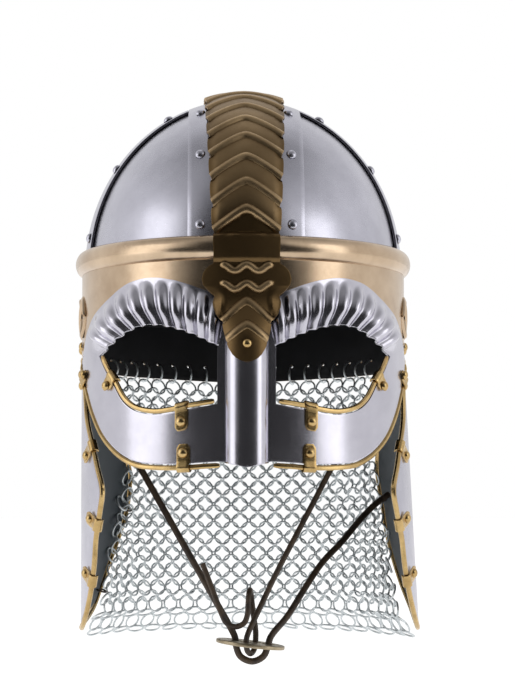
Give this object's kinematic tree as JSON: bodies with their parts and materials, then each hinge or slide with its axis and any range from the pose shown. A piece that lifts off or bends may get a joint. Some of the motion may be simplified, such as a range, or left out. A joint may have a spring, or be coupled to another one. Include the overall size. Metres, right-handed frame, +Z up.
{
  "type": "spectacle helmet",
  "caption": "Riveted steel helmet with a brass crest and brow band, ribbed spectacle mask, hanging cheek plates, mail neck guard and leather chin strap.",
  "frame": {"origin": "middle of the head opening, level with the hinges at the ears, where a head holds the helmet up", "axes": "+Z up, -Y the way the face looks, +X to the right as someone facing the helmet sees it"},
  "size_m": [0.2133, 0.2676, 0.3512],
  "materials": {
    "bowl_steel": "satin polished steel",
    "mask_steel": "polished steel",
    "cheek_steel": "satin steel, dark inside",
    "mail_steel": "zinc-grey ring mail",
    "crest_brass": "aged brass",
    "brow_brass": "satin antique brass",
    "trim_brass": "polished brass",
    "disc_brass": "dull aged brass",
    "leather": "dark oiled leather"
  },
  "bodies": {
    "root": {"skull_plate_front_right": "bowl_steel", "skull_plate_back_right": "bowl_steel", "skull_plate_back_left": "bowl_steel", "skull_plate_front_left": "bowl_steel", "medial_band": "bowl_steel", "lateral_band_left": "bowl_steel", "lateral_band_right": "bowl_steel", "brow_band": "brow_brass", "crest": "crest_brass", "crest_rivet": "trim_brass", "spectacle_mask": "mask_steel", "eye_trim_left": "trim_brass", "mask_trim_left": "trim_brass", "eye_clip_left": "trim_brass", "eye_clip_left_rivet": "trim_brass", "mask_clip_left": "trim_brass", "mask_clip_left_rivet": "trim_brass", "eye_corner_clip_left": "trim_brass", "eye_corner_clip_left_rivet": "trim_brass", "temple_clip_left": "trim_brass", "temple_clip_left_rivet": "trim_brass", "eye_trim_right": "trim_brass", "mask_trim_right": "trim_brass", "eye_clip_right": "trim_brass", "eye_clip_right_rivet": "trim_brass", "mask_clip_right": "trim_brass", "mask_clip_right_rivet": "trim_brass", "eye_corner_clip_right": "trim_brass", "eye_corner_clip_right_rivet": "trim_brass", "temple_clip_right": "trim_brass", "temple_clip_right_rivet": "trim_brass", "cheek_plate_left": "cheek_steel", "cheek_trim_left": "trim_brass", "cheek_clip_left_1": "trim_brass", "cheek_clip_left_2": "trim_brass", "cheek_clip_left_3": "trim_brass", "hinge_strap_left": "leather", "hinge_rivet_left_band_front": "trim_brass", "hinge_rivet_left_band_back": "trim_brass", "hinge_rivet_left_plate_upper": "trim_brass", "hinge_rivet_left_plate_lower": "trim_brass", "cheek_plate_right": "cheek_steel", "cheek_trim_right": "trim_brass", "cheek_clip_right_1": "trim_brass", "cheek_clip_right_2": "trim_brass", "cheek_clip_right_3": "trim_brass", "hinge_strap_right": "leather", "hinge_rivet_right_band_front": "trim_brass", "hinge_rivet_right_band_back": "trim_brass", "hinge_rivet_right_plate_upper": "trim_brass", "hinge_rivet_right_plate_lower": "trim_brass", "mail_neck_guard": "mail_steel", "thong_outer": "leather", "thong_inner": "leather", "strap_disc": "disc_brass"}
  },
  "joints": []
}
